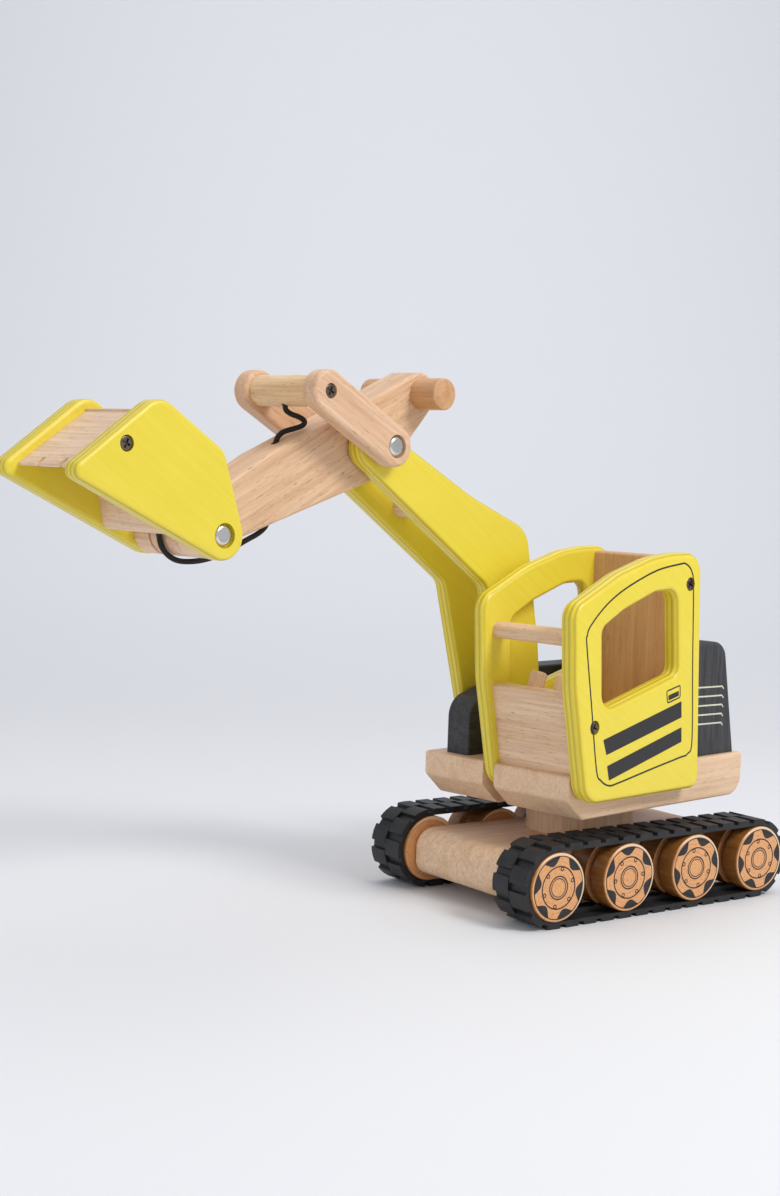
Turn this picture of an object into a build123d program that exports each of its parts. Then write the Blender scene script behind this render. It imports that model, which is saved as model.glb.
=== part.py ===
"""Toy excavator: tracked chassis, swivelling house with cab, boom, stick, hand lever, cord and bucket.

Chassis parts are drawn about the swivel axis: X forward along the tracks, Y to the cab side, Z up,
ground at Z = 0.  House, boom, stick, lever and bucket are drawn straight ahead in the same axes and are
turned by SWING about the swivel axis when they are placed.
"""
import math
import os

from build123d import *

os.makedirs("parts", exist_ok=True)

# ---------------------------------------------------------------- placing
SWING = 8.0             # degrees, the house turned towards the cab side at rest
TX, TY = -139.1156, -3.4407  # swivel axis in the finished frame

# ---------------------------------------------------------------- chassis and tracks
WHEEL_R = 19.85
WHEEL_PITCH = 54.5
AXLE_Z = 24.1
AXLE_X = [81.3 - WHEEL_PITCH * i for i in range(4)]
AXLE_D = 8.0
AXLE_BORE = 8.15
WHEEL_IN = 43.2         # inner face of a wheel from the middle plane
WHEEL_OUT = 74.1
GROOVE_IN, GROOVE_OUT = 58.0, 63.2
GROOVE_R = 16.3
AXLE_HALF = 65.0

BELT_IN, BELT_OUT = 44.8, 72.6
BELT_RI = 20.15         # inside of the band
BELT_RO = 22.0          # root of the lugs
LUG_RO = 24.1           # tip of the lugs
RIB_IN, RIB_OUT = 59.0, 62.2
RIB_R = 17.4
LUG_COUNT = 34
LUG_ROOT, LUG_TIP = 10.2, 9.2
ROW_GAP = 0.5

CHASSIS_L = 94.3
CHASSIS_REAR = -95.3
CHASSIS_W = 42.5
CHASSIS_Z0, CHASSIS_Z1 = 9.9, 37.9
COLUMN_R = 32.8
COLUMN_Z1 = 57.6

# ---------------------------------------------------------------- house
BASE_W = 57.0
BASE_Z0, BASE_Z1 = 58.7, 85.0
BASE_F, BASE_R = 80.1, -88.1
PANEL_R_OUT, PANEL_R_IN = -8.9, 0.1       # right cab panel, inner face towards the cab
PANEL_L_IN, PANEL_L_OUT = 57.2, 69.0      # left cab panel
PANEL_Z0 = 70.2
WALL_F0, WALL_F1, WALL_T, WALL_Z1 = 75.4, 84.6, 15.2, 132.0
BACK_F, BACK_T, BACK_Z1 = -4.0, 11.5, 209.0
CROSSBAR = (81.0, 164.0)
CROSSBAR_D = 10.0
PEG_D = 10.0            # control lever stubs sunk in the front wall
PEG_L = 30.5
PEG_X, PEG_Z = 73.9, 111.0
PEG_Y = (18.5, 38.5)
PEG_AXIS = (-0.31, 0, 0.951)

# ---------------------------------------------------------------- digging arm
YB = -36.5              # middle plane of boom, stick and bucket
STICK_W = 11.5          # half width
BOOM_IN, BOOM_OUT = 12.2, 22.2
LEVER_IN, LEVER_OUT = 22.9, 33.9
BUCKET_IN, BUCKET_OUT = 24.7, 35.7
BOOM_PIVOT = (37.4, 105.0)
MAIN_PIVOT = (166.0, 268.0)
BUCKET_PIVOT = (287.5, 219.8)
LEVER_TOP = (216.5, 296.0)
HANDLE = (126.6, 298.3)
HANDLE_D = 18.0
LEVER_DOWEL_D = 17.0
PIN_D = 6.0
PIN_BORE = 6.12
CAP_D = 11.6
CAP_RECESS = 13.0
CORD_D = 3.0
CORD_HOLE_D = 4.6

# ================================================================ helpers


def unit(v):
    n = math.hypot(*v)
    return (v[0] / n, v[1] / n)


def rounded(*verts):
    """Face of a polygon (x, z, radius) whose corners are rounded by tangent arcs."""
    n = len(verts)
    cut = []
    for i in range(n):
        px, pz, _ = verts[i - 1]
        x, z, r = verts[i]
        qx, qz, _ = verts[(i + 1) % n]
        a, b = unit((px - x, pz - z)), unit((qx - x, qz - z))
        half = math.acos(max(-1, min(1, a[0] * b[0] + a[1] * b[1]))) / 2
        t = r / math.tan(half)
        m = unit((a[0] + b[0], a[1] + b[1]))
        c = (x + m[0] * r / math.sin(half), z + m[1] * r / math.sin(half))
        cut.append(((x + a[0] * t, z + a[1] * t), (c[0] - m[0] * r, c[1] - m[1] * r), (x + b[0] * t, z + b[1] * t), r))
    with BuildLine() as loop:
        for i in range(n):
            s, m, e, r = cut[i]
            if r > 0:
                ThreePointArc(s, m, e)
            nxt = cut[(i + 1) % n][0]
            if math.dist(e, nxt) > 1e-4:
                Line(e, nxt)
    make_face(loop.edges())


def hulled(*circles):
    """Face inside the belt round circles (x, z, radius) given counter-clockwise."""
    n = len(circles)
    normals = []
    for i in range(n):
        x1, z1, r1 = circles[i]
        x2, z2, r2 = circles[(i + 1) % n]
        length = math.dist((x1, z1), (x2, z2))
        u = ((x2 - x1) / length, (z2 - z1) / length)
        k = (r1 - r2) / length
        w = (u[1], -u[0])
        s = math.sqrt(1 - k * k)
        normals.append((w[0] * s + u[0] * k, w[1] * s + u[1] * k))
    with BuildLine() as loop:
        for i in range(n):
            x, z, r = circles[i]
            a, b = normals[i - 1], normals[i]
            t0 = math.atan2(a[1], a[0])
            t1 = math.atan2(b[1], b[0])
            while t1 < t0:
                t1 += 2 * math.pi
            at = lambda t: (x + r * math.cos(t), z + r * math.sin(t))
            ThreePointArc(at(t0), at((t0 + t1) / 2), at(t1))
            x2, z2, r2 = circles[(i + 1) % n]
            Line(at(t1), (x2 + r2 * b[0], z2 + r2 * b[1]))
    make_face(loop.edges())


def face_plane(y):
    """XZ sketch plane at Y = y; extruding from it goes towards -Y."""
    return Plane.XZ.offset(-y)


def rim(part, y):
    """Edges of a part that lie in the plane Y = y."""
    return part.edges().filter_by(lambda e: abs(e.bounding_box().min.Y - y) < 1e-3 and abs(e.bounding_box().max.Y - y) < 1e-3)


def bore(x, z, d, y0, y1):
    """Hole along Y, cut from the part being built."""
    with BuildSketch(face_plane(max(y0, y1))) as mouth:
        with Locations((x, z)):
            Circle(d / 2)
    extrude(mouth.sketch, amount=abs(y1 - y0), mode=Mode.SUBTRACT)


def drill(start, direction, d, depth):
    """Slanted hole of the given depth, cut from the part being built."""
    with BuildSketch(Plane(origin=start, z_dir=direction)) as mouth:
        Circle(d / 2)
    extrude(mouth.sketch, amount=depth, mode=Mode.SUBTRACT)


def place_chassis(part):
    return Pos(TX, TY, 0) * part


def place_house(part):
    return Pos(TX, TY, 0) * Rot(0, 0, SWING) * part


def save(part, label, place):
    out = place(part)
    out.label = label
    export_step(out, f"parts/{label}.step")
    print(label, round(part.volume, 1), "mm3", len(part.solids()), "solid(s)")


# ================================================================ chassis

with BuildPart() as chassis_board:
    with BuildSketch(face_plane(CHASSIS_W)):
        rounded((CHASSIS_L, CHASSIS_Z0, 9.0), (CHASSIS_L, CHASSIS_Z1, 12.0), (CHASSIS_REAR, CHASSIS_Z1, 12.0), (CHASSIS_REAR, CHASSIS_Z0, 9.0))
    extrude(amount=2 * CHASSIS_W)
    fillet(rim(chassis_board.part, CHASSIS_W) + rim(chassis_board.part, -CHASSIS_W), 1.6)
    for ax in AXLE_X:
        bore(ax, AXLE_Z, AXLE_BORE, CHASSIS_W + 1, -CHASSIS_W - 1)
    with BuildSketch(Plane.XY.offset(CHASSIS_Z0)):
        Circle(9.0)
    extrude(amount=7.0, mode=Mode.SUBTRACT)
    with BuildSketch(Plane.XY.offset(CHASSIS_Z0)):
        Circle(8.15 / 2)
    extrude(amount=40.0, mode=Mode.SUBTRACT)
save(chassis_board.part, "chassis_board", place_chassis)

with BuildPart() as turntable_column:
    with BuildSketch(Plane.XY.offset(CHASSIS_Z1)):
        Circle(COLUMN_R)
        Circle(8.15 / 2, mode=Mode.SUBTRACT)
    extrude(amount=COLUMN_Z1 - CHASSIS_Z1)
    fillet(turntable_column.edges().filter_by(GeomType.CIRCLE).filter_by(lambda e: e.radius > 20 and e.center().Z > COLUMN_Z1 - 1), 1.0)
save(turntable_column.part, "turntable_column", place_chassis)

with BuildPart() as swivel_washer:
    with BuildSketch(Plane.XY.offset(COLUMN_Z1)):
        Circle(24.0)
        Circle(8.15 / 2, mode=Mode.SUBTRACT)
    extrude(amount=BASE_Z0 - COLUMN_Z1)
save(swivel_washer.part, "swivel_washer", place_chassis)

# bolt that holds the house down: head in the counterbore below, thread in the base
with BuildPart() as swivel_bolt:
    with BuildSketch(Plane.XY.offset(CHASSIS_Z0 + 1.2)):
        RegularPolygon(radius=7.5, side_count=6)
    extrude(amount=5.0)
    with BuildSketch(Plane.XY.offset(CHASSIS_Z0 + 6.2)):
        Circle(8.0)
    extrude(amount=0.6)
    with BuildSketch(Plane.XY.offset(CHASSIS_Z0 + 6.2)):
        Circle(4.0)
    extrude(amount=BASE_Z0 + 10.0 - CHASSIS_Z0 - 6.2)
save(swivel_bolt.part, "swivel_bolt", place_house)

# ---------------------------------------------------------------- rubber belts
SPAN = AXLE_X[0] - AXLE_X[3]
MID_X = (AXLE_X[0] + AXLE_X[3]) / 2
LOOP_R = BELT_RO
LOOP_LEN = 2 * SPAN + 2 * math.pi * LOOP_R


def on_loop(s, r):
    """Point at distance s round the loop (measured at the lug roots) and r from its centre line of wheels."""
    s %= LOOP_LEN
    arc = math.pi * LOOP_R
    if s < SPAN:
        return (MID_X + SPAN / 2 - s, AXLE_Z + r)
    s -= SPAN
    if s < arc:
        t = math.pi / 2 + s / LOOP_R
        return (MID_X - SPAN / 2 + r * math.cos(t), AXLE_Z + r * math.sin(t))
    s -= arc
    if s < SPAN:
        return (MID_X - SPAN / 2 + s, AXLE_Z - r)
    s -= SPAN
    t = -math.pi / 2 + s / LOOP_R
    return (MID_X + SPAN / 2 + r * math.cos(t), AXLE_Z + r * math.sin(t))


def lug_row(y, width, shift):
    pitch = LOOP_LEN / LUG_COUNT
    with BuildSketch(face_plane(y)) as lugs:
        for i in range(LUG_COUNT):
            s = (i + shift) * pitch
            root = [on_loop(s + LUG_ROOT * k, LOOP_R - 0.4) for k in (-0.5, -0.25, 0, 0.25, 0.5)]
            tip = [on_loop(s + LUG_TIP * k, LUG_RO) for k in (0.5, 0.25, 0, -0.25, -0.5)]
            with BuildLine() as outline:
                Polyline(*root, *tip, close=True)
            make_face(outline.edges())
    extrude(lugs.sketch, amount=width)


def belt(side):
    outer = BELT_OUT if side > 0 else -BELT_IN
    width = BELT_OUT - BELT_IN
    with BuildPart() as made:
        with BuildSketch(face_plane(outer)):
            with Locations((MID_X, AXLE_Z)):
                SlotCenterToCenter(SPAN, 2 * BELT_RO)
                SlotCenterToCenter(SPAN, 2 * BELT_RI, mode=Mode.SUBTRACT)
        extrude(amount=width)
        with BuildSketch(face_plane(RIB_OUT if side > 0 else -RIB_IN)):
            with Locations((MID_X, AXLE_Z)):
                SlotCenterToCenter(SPAN, 2 * BELT_RI + 0.4)
                SlotCenterToCenter(SPAN, 2 * RIB_R, mode=Mode.SUBTRACT)
        extrude(amount=RIB_OUT - RIB_IN)
        row = (width - ROW_GAP) / 2
        lug_row(outer, row, 0.0 if side > 0 else 0.5)
        lug_row(outer - row - ROW_GAP, row, 0.5 if side > 0 else 0.0)
    return made.part


save(belt(1), "belt_left", place_chassis)
save(belt(-1), "belt_right", place_chassis)


# ---------------------------------------------------------------- wheels and axles
def wheel(x, side):
    def yy(a, b):
        return (b, b - a) if side > 0 else (-a, b - a)

    with BuildPart() as made:
        top, width = yy(WHEEL_IN, GROOVE_IN)
        with BuildSketch(face_plane(top)):
            with Locations((x, AXLE_Z)):
                Circle(WHEEL_R)
        extrude(amount=width)
        top, width = yy(GROOVE_IN, GROOVE_OUT)
        with BuildSketch(face_plane(top)):
            with Locations((x, AXLE_Z)):
                Circle(GROOVE_R)
        extrude(amount=width)
        top, width = yy(GROOVE_OUT, WHEEL_OUT)
        with BuildSketch(face_plane(top)):
            with Locations((x, AXLE_Z)):
                Circle(WHEEL_R)
        extrude(amount=width)
        fillet(rim(made.part, side * WHEEL_OUT), 1.0)
        fillet(rim(made.part, side * WHEEL_IN), 0.8)
        a, b = (AXLE_HALF, WHEEL_IN - 1) if side > 0 else (-WHEEL_IN + 1, -AXLE_HALF)
        bore(x, AXLE_Z, AXLE_D, a, b)
    return made.part


for i, ax in enumerate(AXLE_X, 1):
    save(wheel(ax, 1), f"wheel_left_{i}", place_chassis)
    save(wheel(ax, -1), f"wheel_right_{i}", place_chassis)
    with BuildPart() as axle:
        with BuildSketch(face_plane(AXLE_HALF)):
            with Locations((ax, AXLE_Z)):
                Circle(AXLE_D / 2)
        extrude(amount=2 * AXLE_HALF)
    save(axle.part, f"axle_{i}", place_chassis)

# ================================================================ house

PANEL = [
    (77.9, PANEL_Z0, 14.0), (91.6, 136.0, 70.0), (94.8, 182.6, 12.0), (56.0, 200.6, 60.0), (26.0, 209.2, 60.0),
    (6.0, 211.6, 60.0), (-20.6, 211.8, 13.0), (-28.0, PANEL_Z0, 7.0),
]
WINDOW = [
    (65.8, 123.0, 8.0), (68.9, 169.8, 6.0), (50.5, 179.4, 32.0), (21.5, 189.2, 22.0), (2.4, 189.9, 8.0), (-1.8, 140.6, 6.0),
]
SCREWS_CAB = [(-9.8, 193.3), (73.4, 114.3)]


def cab_panel(y_out, y_in, radius, screw_side):
    hi, lo = max(y_out, y_in), min(y_out, y_in)
    with BuildPart() as made:
        with BuildSketch(face_plane(hi)):
            rounded(*PANEL)
        extrude(amount=hi - lo)
        with BuildSketch(face_plane(hi)):
            rounded(*WINDOW)
        extrude(amount=hi - lo, mode=Mode.SUBTRACT)
        fillet(rim(made.part, hi) + rim(made.part, lo), radius)
        inner = lo if screw_side > 0 else hi
        bore(*CROSSBAR, CROSSBAR_D, inner, inner + screw_side * 6.0)
        if screw_side > 0:
            for x, z in SCREWS_CAB:
                bore(x, z, 8.2, hi, hi - 2.6)
                bore(x, z, 3.4, hi, lo)
    return made.part


save(cab_panel(PANEL_L_OUT, PANEL_L_IN, 3.6, 1), "cab_panel_left", place_house)
save(cab_panel(PANEL_R_OUT, PANEL_R_IN, 3.0, -1), "cab_panel_right", place_house)

with BuildPart() as base_block:
    with BuildSketch(face_plane(BASE_W)):
        rounded((66.2, BASE_Z0, 3.0), (BASE_F, 71.1, 4.0), (BASE_F, BASE_Z1, 1.6), (BASE_R, BASE_Z1, 1.6), (BASE_R, BASE_Z0, 12.0))
    extrude(amount=2 * BASE_W)
    fillet(rim(base_block.part, BASE_W) + rim(base_block.part, -BASE_W), 1.5)
    # seat of the right cab panel, open to the front and, at the front, right through
    with BuildSketch(face_plane(PANEL_R_IN)):
        with Locations(((-28.6 + 90) / 2, (PANEL_Z0 + 90) / 2)):
            Rectangle(90 + 28.6, 90 - PANEL_Z0)
        with Locations(((52 + 90) / 2, 70)):
            Rectangle(90 - 52, 40)
    extrude(amount=PANEL_R_IN - PANEL_R_OUT, mode=Mode.SUBTRACT)
    # threaded seat of the swivel bolt
    with BuildSketch(Plane.XY.offset(BASE_Z0 - 1)):
        Circle(4.0)
    extrude(amount=11.0, mode=Mode.SUBTRACT)
save(base_block.part, "base_block", place_house)

with BuildPart() as cab_front_wall:
    lean = (WALL_F1 - WALL_F0) / (WALL_Z1 - BASE_Z1)
    with BuildSketch(face_plane(PANEL_L_IN)):
        rounded((WALL_F0, BASE_Z1, 0.0), (WALL_F1, WALL_Z1, 1.6), (WALL_F1 - WALL_T, WALL_Z1, 1.6), (WALL_F0 - WALL_T, BASE_Z1, 0.0))
    extrude(amount=PANEL_L_IN - PANEL_R_IN)
    for y in PEG_Y:
        drill((PEG_X, y, PEG_Z), PEG_AXIS, PEG_D, 40)
    bore(*SCREWS_CAB[1], 3.4, PANEL_L_IN, PANEL_L_IN - 10)
save(cab_front_wall.part, "cab_front_wall", place_house)

for side, y in zip(("right", "left"), PEG_Y):
    with BuildPart() as peg:
        with BuildSketch(Plane(origin=(PEG_X, y, PEG_Z), z_dir=PEG_AXIS)):
            Circle(PEG_D / 2)
        extrude(amount=PEG_L)
        fillet(peg.edges().sort_by(Axis.Z)[-1:], 1.6)
    save(peg.part, f"control_lever_{side}", place_house)

with BuildPart() as cab_back_wall:
    with BuildSketch(face_plane(PANEL_L_IN)):
        rounded((BACK_F, BASE_Z1, 0.0), (BACK_F, BACK_Z1, 2.0), (BACK_F - BACK_T, BACK_Z1, 2.0), (BACK_F - BACK_T, BASE_Z1, 0.0))
    extrude(amount=PANEL_L_IN - PANEL_R_IN)
    bore(*SCREWS_CAB[0], 3.4, PANEL_L_IN, PANEL_L_IN - 14)
save(cab_back_wall.part, "cab_back_wall", place_house)

with BuildPart() as cab_crossbar:
    with BuildSketch(face_plane(PANEL_L_IN + 6.0)):
        with Locations(CROSSBAR):
            Circle(CROSSBAR_D / 2)
    extrude(amount=PANEL_L_IN - PANEL_R_IN + 12.0)
save(cab_crossbar.part, "cab_crossbar", place_house)

ENGINE_F = -39.0
with BuildPart() as engine_block:
    with BuildSketch(face_plane(53.0)):
        rounded((ENGINE_F, BASE_Z1, 0.0), (ENGINE_F, 157.1, 2.0), (-71.8, 154.2, 11.0), (-85.3, BASE_Z1, 0.0))
    extrude(amount=106.0)
    tops = (rim(engine_block.part, 53.0) + rim(engine_block.part, -53.0)).filter_by(lambda e: e.center().Z > BASE_Z1 + 0.5)
    fillet(tops, 3.6)
save(engine_block.part, "engine_block", place_house)

with BuildPart() as boom_block:
    with BuildSketch(face_plane(YB + 9.0)):
        rounded((73.5, BASE_Z1, 0.0), (73.5, 117.2, 14.0), (12.0, 136.0, 18.0), (ENGINE_F, 136.0, 0.0), (ENGINE_F, BASE_Z1, 0.0))
    extrude(amount=18.0)
    sides = (rim(boom_block.part, YB + 9.0) + rim(boom_block.part, YB - 9.0)).filter_by(
        lambda e: e.center().Z > BASE_Z1 + 0.5 and e.center().X > ENGINE_F + 0.5)
    fillet(sides, 1.4)
    bore(*BOOM_PIVOT, PIN_BORE, YB + 10, YB - 10)
save(boom_block.part, "boom_block", place_house)


# ================================================================ hardware


def screw_solid(x, z, y_face, toward, depth):
    """Wood screw whose head lies below the face at y_face; it goes in along toward (+1 or -1)."""
    head = Plane(origin=(x, y_face + toward * 0.5, z), z_dir=(0, toward, 0), x_dir=(1, 0, 0))
    with BuildPart() as made:
        with BuildSketch(head):
            Circle(3.7)
        extrude(amount=2.1)
        fillet(made.edges().filter_by(lambda e: abs(e.center().Y - (y_face + toward * 0.5)) < 1e-3), 0.7)
        with BuildSketch(head.offset(2.1)):
            Circle(1.7)
        extrude(amount=depth)
        with BuildSketch(head):
            Rectangle(5.0, 1.1, rotation=25)
            Rectangle(1.1, 5.0, rotation=25)
        extrude(amount=1.3, mode=Mode.SUBTRACT)
    return made.part


def cap_solid(x, z, y_seat, outward):
    """Domed push cap that stands on y_seat and points outward (+1 or -1)."""
    seat = Plane(origin=(x, y_seat, z), z_dir=(0, outward, 0), x_dir=(1, 0, 0))
    with BuildPart() as made:
        with BuildSketch(seat):
            Circle(CAP_D / 2)
        extrude(amount=2.6)
        fillet(made.edges().filter_by(lambda e: abs(e.center().Y - (y_seat + outward * 2.6)) < 1e-3), 2.3)
        with BuildSketch(seat):
            Circle(PIN_D / 2)
        extrude(amount=1.2, mode=Mode.SUBTRACT)
    return made.part


def group(*parts):
    return Compound(children=[*parts])


def pin(x, z, half):
    with BuildPart() as made:
        with BuildSketch(face_plane(YB + half)):
            with Locations((x, z)):
                Circle(PIN_D / 2)
        extrude(amount=2 * half)
    return made.part


save(group(screw_solid(*SCREWS_CAB[0], PANEL_L_OUT, -1, 20.0), screw_solid(*SCREWS_CAB[1], PANEL_L_OUT, -1, 18.5)), "cab_screws", place_house)

# ================================================================ boom

BOOM = [
    (184.0, 260.6, 12.9), (184.0, 288.1, 12.9), (92.0, 241.2, 120.0), (41.5, 221.0, 18.0), (27.7, 152.0, 80.0),
    (19.8, 89.5, 15.3), (49.2, 89.5, 15.3), (76.5, 188.1, 10.0),
]
SPACER = (116.0, 234.0)


def boom_plate(side):
    hi, lo = (YB + BOOM_OUT, YB + BOOM_IN) if side > 0 else (YB - BOOM_IN, YB - BOOM_OUT)
    outer, inner = (hi, lo) if side > 0 else (lo, hi)
    with BuildPart() as made:
        with BuildSketch(face_plane(hi)):
            rounded(*BOOM)
        extrude(amount=hi - lo)
        fillet(rim(made.part, hi) + rim(made.part, lo), 2.6)
        bore(*MAIN_PIVOT, PIN_BORE, hi + 1, lo - 1)
        bore(*BOOM_PIVOT, PIN_D, hi + 1, lo - 1)
        bore(*BOOM_PIVOT, CAP_RECESS, outer, outer - side * 3.0)
        bore(*SPACER, 14.0, inner, inner + side * 4.0)
    return made.part


save(boom_plate(1), "boom_plate_left", place_house)
save(boom_plate(-1), "boom_plate_right", place_house)

with BuildPart() as boom_spacer:
    with BuildSketch(face_plane(YB + BOOM_IN + 4.0)):
        with Locations(SPACER):
            Circle(7.0)
    extrude(amount=2 * BOOM_IN + 8.0)
save(boom_spacer.part, "boom_spacer", place_house)

save(pin(*BOOM_PIVOT, BOOM_OUT - 1.8), "boom_axle", place_house)
save(group(cap_solid(*BOOM_PIVOT, YB + BOOM_OUT - 3.0, 1), cap_solid(*BOOM_PIVOT, YB - BOOM_OUT + 3.0, -1)), "boom_axle_caps", place_house)


def ring(x, z, y0, y1, outer_r, inner_r):
    with BuildPart() as made:
        with BuildSketch(face_plane(max(y0, y1))):
            with Locations((x, z)):
                Circle(outer_r)
                Circle(inner_r, mode=Mode.SUBTRACT)
        extrude(amount=abs(y1 - y0))
    return made.part


save(group(ring(*BOOM_PIVOT, YB + 9.1, YB + BOOM_IN, 9.0, PIN_D / 2), ring(*BOOM_PIVOT, YB - 9.1, YB - BOOM_IN, 9.0, PIN_D / 2)), "boom_washers", place_house)

# ================================================================ stick

HOLE_TOP, HOLE_BOTTOM = (225.4, 267.4), (228.6, 225.2)

with BuildPart() as stick:
    with BuildSketch(face_plane(YB + STICK_W)):
        hulled((*BUCKET_PIVOT, 12.4), (235.2, 250.2, 12.0), (*HANDLE, 12.3), (155.6, 256.0, 5.0))
    extrude(amount=2 * STICK_W)
    fillet(rim(stick.part, YB + STICK_W) + rim(stick.part, YB - STICK_W), 2.0)
    bore(*BUCKET_PIVOT, PIN_BORE, YB + 13, YB - 13)
    bore(*MAIN_PIVOT, PIN_D, YB + 13, YB - 13)
    bore(*HANDLE, HANDLE_D, YB + 13, YB - 13)
    d = unit((HOLE_BOTTOM[0] - HOLE_TOP[0], HOLE_BOTTOM[1] - HOLE_TOP[1]))
    drill((HOLE_TOP[0] - 6 * d[0], YB, HOLE_TOP[1] - 6 * d[1]), (d[0], 0, d[1]), CORD_HOLE_D, 56)
save(stick.part, "stick", place_house)

with BuildPart() as handle_dowel:
    with BuildSketch(face_plane(YB + STICK_W + 19.0)):
        with Locations(HANDLE):
            Circle(HANDLE_D / 2)
    extrude(amount=2 * (STICK_W + 19.0))
    fillet(rim(handle_dowel.part, YB + STICK_W + 19.0) + rim(handle_dowel.part, YB - STICK_W - 19.0), 1.2)
save(handle_dowel.part, "handle_dowel", place_house)

save(pin(*MAIN_PIVOT, LEVER_OUT - 1.6), "main_axle", place_house)
save(group(cap_solid(*MAIN_PIVOT, YB + LEVER_OUT - 2.8, 1), cap_solid(*MAIN_PIVOT, YB - LEVER_OUT + 2.8, -1)), "main_axle_caps", place_house)

# ================================================================ hand lever


def lever_arm(side):
    hi, lo = (YB + LEVER_OUT, YB + LEVER_IN) if side > 0 else (YB - LEVER_IN, YB - LEVER_OUT)
    outer, inner = (hi, lo) if side > 0 else (lo, hi)
    with BuildPart() as made:
        with BuildSketch(face_plane(hi)):
            hulled((*MAIN_PIVOT, 11.4), (*LEVER_TOP, 11.4))
        extrude(amount=hi - lo)
        fillet(rim(made.part, hi) + rim(made.part, lo), 2.2)
        bore(*MAIN_PIVOT, PIN_BORE, hi + 1, lo - 1)
        bore(*MAIN_PIVOT, CAP_RECESS, outer, outer - side * 3.0)
        bore(*LEVER_TOP, 8.2, outer, outer - side * 2.6)
        bore(*LEVER_TOP, 3.4, hi + 1, lo - 1)
        bore(*LEVER_TOP, LEVER_DOWEL_D, inner, inner + side * 3.0)
    return made.part


save(lever_arm(1), "lever_arm_left", place_house)
save(lever_arm(-1), "lever_arm_right", place_house)

# ---------------------------------------------------------------- cord route (x, y from the middle plane, z)
def hole_x(z):
    """X of the cord hole's axis at height z."""
    return HOLE_TOP[0] + (HOLE_TOP[1] - z) * (HOLE_BOTTOM[0] - HOLE_TOP[0]) / (HOLE_TOP[1] - HOLE_BOTTOM[1])


CORD_UPPER = [
    (218.6, 0.0, 292.6), (219.9, 0.0, 286.2), (216.0, 1.4, 283.4), (211.2, 2.9, 282.2), (207.6, 4.2, 279.9),
    (209.7, 4.4, 277.3), (215.6, 2.9, 275.4), (221.6, 0.9, 273.6), (hole_x(269.0), 0.0, 269.0), (hole_x(262.2), 0.0, 262.2),
]
CORD_LOWER = [
    (hole_x(230.4), 0.0, 230.4), (hole_x(224.0), 0.0, 224.0), (234.3, 0.3, 219.2), (244.3, 0.6, 215.2), (256.5, 0.4, 209.7),
    (268.6, 0.2, 205.6), (280.2, 0.0, 204.1), (291.6, 0.0, 204.9), (300.2, 0.0, 211.2), (302.4, 0.0, 220.6),
    (304.4, 0.0, 228.4), (312.6, 0.0, 232.6),
]


def tube(points):
    """Cord along straight runs joined by tangent arcs."""
    pts = [Vector(x, YB + y, z) for x, y, z in points]
    radii = []
    for i in range(1, len(pts) - 1):
        a, b = pts[i] - pts[i - 1], pts[i + 1] - pts[i]
        turn = math.radians(a.get_angle(b))
        radii.append(0.45 * min(a.length, b.length) / math.tan(turn / 2))
    print("   bend radii", [round(r, 1) for r in radii])
    with BuildPart() as made:
        with BuildLine() as path:
            FilletPolyline(*pts, radius=radii)
        with BuildSketch(Plane(origin=path.line @ 0, z_dir=path.line % 0)):
            Circle(CORD_D / 2)
        sweep()
    length = sum(e.length for e in path.edges())
    print("   cord length", round(length, 1), "volume", round(made.part.volume, 1), "section x length", round(length * math.pi * CORD_D**2 / 4, 1))
    return made.part


def unit3(a, b):
    v = Vector(*b) - Vector(*a)
    return v / v.length


with BuildPart() as lever_dowel:
    with BuildSketch(face_plane(YB + LEVER_IN + 3.0)):
        with Locations(LEVER_TOP):
            Circle(LEVER_DOWEL_D / 2)
    extrude(amount=2 * LEVER_IN + 6.0)
    bore(*LEVER_TOP, 3.4, YB + LEVER_IN + 3.0, YB + LEVER_IN - 12.0)
    bore(*LEVER_TOP, 3.4, YB - LEVER_IN + 12.0, YB - LEVER_IN - 3.0)
    v = unit3(CORD_UPPER[1], CORD_UPPER[0])
    start = Vector(CORD_UPPER[1][0], YB + CORD_UPPER[1][1], CORD_UPPER[1][2]) - v * 4
    stop = Vector(CORD_UPPER[0][0], YB + CORD_UPPER[0][1], CORD_UPPER[0][2])
    drill(start, v, CORD_D + 0.4, (stop - start).length + 0.3)
save(lever_dowel.part, "lever_dowel", place_house)

save(group(screw_solid(*LEVER_TOP, YB + LEVER_OUT, -1, 18.5), screw_solid(*LEVER_TOP, YB - LEVER_OUT, 1, 18.5)), "lever_screws", place_house)

save(tube(CORD_UPPER), "cord_upper", place_house)

with BuildPart() as cord_inner:
    a = Vector(CORD_UPPER[-1][0], YB, CORD_UPPER[-1][2])
    b = Vector(CORD_LOWER[0][0], YB, CORD_LOWER[0][2])
    with BuildSketch(Plane(origin=a, z_dir=b - a)):
        Circle(CORD_D / 2)
    extrude(amount=(b - a).length)
save(cord_inner.part, "cord_inner", place_house)
save(tube(CORD_LOWER), "cord_lower", place_house)

# ================================================================ bucket

BUCKET = [(*BUCKET_PIVOT, 12.8), (373.5, 251.2, 5.0), (329.3, 272.9, 13.5), (298.3, 254.6, 12.0)]
SCREW_BUCKET = (349.5, 264.6)
LIP = (371.6, 253.0)
E = unit((-0.823, 0.567))           # up the blade, away from the lip
N = (-0.567 / math.hypot(0.823, 0.567), -0.823 / math.hypot(0.823, 0.567))  # into the blade
BLADE_T = 8.5


def blade_point(along, deep):
    return (LIP[0] + E[0] * along + N[0] * deep, LIP[1] + E[1] * along + N[1] * deep)


BACK_FRONT = lambda z: 319.5 + 0.2105 * (z - 223.0)


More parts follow.
